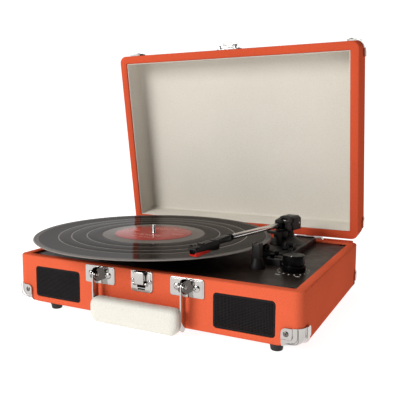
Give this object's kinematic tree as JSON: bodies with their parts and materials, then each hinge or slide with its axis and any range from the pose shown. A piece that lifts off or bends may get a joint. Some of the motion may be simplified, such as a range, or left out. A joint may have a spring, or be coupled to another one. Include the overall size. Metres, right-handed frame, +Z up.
{
  "type": "suitcase record player",
  "caption": "Portable record player in a wrapped suitcase with hinged lid, latch, carrying handle, front speakers, belt-driven platter, record and tonearm.",
  "frame": {"origin": "centre of the overall box, on the surface the feet stand on", "axes": "+X to the right seen from the front, +Y towards the lid at the back, +Z up"},
  "size_m": [0.3808, 0.3503, 0.3377],
  "materials": {
    "leatherette": "fine grained vinyl, satin",
    "lining": "matte paper-backed vinyl",
    "chrome": "polished, nickel tone",
    "black_plastic": "satin moulded plastic",
    "gloss_black": "polished moulded plastic",
    "deck_black": "fine texture",
    "grille_black": "perforated sheet, satin black",
    "rubber": "matte",
    "cream": "smooth padded vinyl",
    "vinyl": "pressed vinyl with fine grooves",
    "label_red": "uncoated paper",
    "steel": "turned",
    "zinc": "zinc plated",
    "board": "glass-fibre board",
    "paper_cone": "pressed paper",
    "felt": "felt",
    "red_plastic": "translucent moulding",
    "fibreboard": "black stained fibreboard"
  },
  "bodies": {
    "case": {"base_shell": "leatherette", "bottom_panel": "fibreboard", "deck_plate": "deck_black", "deck_screws": "zinc", "speaker_grille_left": "grille_black", "speaker_grille_right": "grille_black", "speaker_basket_left": "zinc", "speaker_basket_right": "zinc", "speaker_cone_left": "paper_cone", "speaker_cone_right": "paper_cone", "amplifier_board": "board", "rear_jack_plate": "black_plastic", "audio_sockets": "steel", "dc_socket": "steel", "motor": "zinc", "drive_belt": "rubber", "platter_bearing": "steel", "volume_pot": "zinc", "handle_bracket_left": "chrome", "handle_bracket_right": "chrome", "bracket_screws": "chrome", "handle_pivot_pins": "chrome", "latch_plate": "chrome", "latch_screws": "chrome", "corner_guards_base": "chrome", "guard_screws_base": "chrome", "feet": "rubber", "hinge_base_leaves": "zinc", "hinge_pins": "steel", "tonearm_base": "black_plastic", "tonearm_turret": "black_plastic", "arm_rest_post": "black_plastic"},
    "lid": {"lid_shell": "leatherette", "lid_lining": "lining", "corner_guards_lid": "chrome", "guard_screws_lid": "chrome", "hinge_lid_leaves": "zinc", "lid_catch_plate": "chrome"},
    "hasp": {"lid_hasp": "chrome"},
    "latch": {"latch_lever": "chrome"},
    "handle": {"handle_strap_left": "chrome", "handle_strap_right": "chrome", "handle_grip": "cream"},
    "turntable": {"platter": "black_plastic", "platter_mat": "felt", "spindle": "steel", "record_disc": "vinyl", "record_label": "label_red"},
    "pulley": {"motor_pulley": "steel"},
    "yoke": {"arm_yoke": "black_plastic"},
    "tonearm": {"arm_tube": "chrome", "headshell": "black_plastic", "cartridge": "black_plastic", "stylus_assembly": "red_plastic"},
    "cue_lever": {"cue_lever": "black_plastic"},
    "cue_bar": {"cue_bar": "black_plastic"},
    "volume": {"volume_knob": "gloss_black"},
    "speed": {"speed_switch": "black_plastic"},
    "auto_stop": {"auto_stop_switch": "black_plastic"}
  },
  "joints": [
    {"name": "lid_hinge", "type": "hinge", "parent": "case", "child": "lid", "pos_m": [0.0106, 0.1314, 0.0655], "axis": [1, 0, 0], "range_deg": [-13, 36]},
    {"name": "lid_hasp", "type": "hinge", "parent": "lid", "child": "hasp", "pos_m": [0.0106, 0.09201, 0.3302], "axis": [1, 0, 0], "range_deg": [0, 170]},
    {"name": "latch_lever", "type": "hinge", "parent": "case", "child": "latch", "pos_m": [0.0106, -0.1365, 0.0507], "axis": [1, 0, 0], "range_deg": [0, 50], "stiffness_Nm_per_rad": 0.01},
    {"name": "handle_swing", "type": "hinge", "parent": "case", "child": "handle", "pos_m": [0.0106, -0.1428, 0.056], "axis": [-1, 0, 0], "range_deg": [0, 92]},
    {"name": "platter_spin", "type": "hinge", "parent": "case", "child": "turntable", "pos_m": [-0.0398, -0.0245, 0.07], "axis": [0, 0, 1], "continuous": true},
    {"name": "pulley_spin", "type": "hinge", "parent": "case", "child": "pulley", "pos_m": [-0.0992, 0.0349, 0.068], "axis": [0, 0, 1], "continuous": true},
    {"name": "arm_swing", "type": "hinge", "parent": "case", "child": "yoke", "pos_m": [0.1091, 0.0612, 0.08], "axis": [0, 0, 1], "range_deg": [-30, 14.7]},
    {"name": "arm_lift", "type": "hinge", "parent": "yoke", "child": "tonearm", "pos_m": [0.1091, 0.0612, 0.0945], "axis": [-0.9763, 0.2164, 0], "range_deg": [0, 13]},
    {"name": "cue_bar_rise", "type": "slide", "parent": "case", "child": "cue_bar", "axis": [0, 0, 1], "range_m": [0, 0.0025]},
    {"name": "cue_lever_turn", "type": "hinge", "parent": "case", "child": "cue_lever", "pos_m": [0.1286, 0.0202, 0.075], "axis": [-1, 0, 0], "range_deg": [0, 64]},
    {"name": "volume_turn", "type": "hinge", "parent": "case", "child": "volume", "pos_m": [0.1541, -0.0488, 0.075], "axis": [0, 0, -1], "range_deg": [0, 300]},
    {"name": "speed_slide", "type": "slide", "parent": "case", "child": "speed", "axis": [1, 0, 0], "range_m": [0, 0.0076]},
    {"name": "auto_stop_slide", "type": "slide", "parent": "case", "child": "auto_stop", "axis": [1, 0, 0], "range_m": [0, 0.0076]}
  ],
  "couplings": [
    {"joint": "pulley_spin", "follows": "platter_spin", "ratio": 18.403},
    {"joint": "cue_lever_turn", "follows": "cue_bar_rise", "rad_per_m": 418.88}
  ]
}
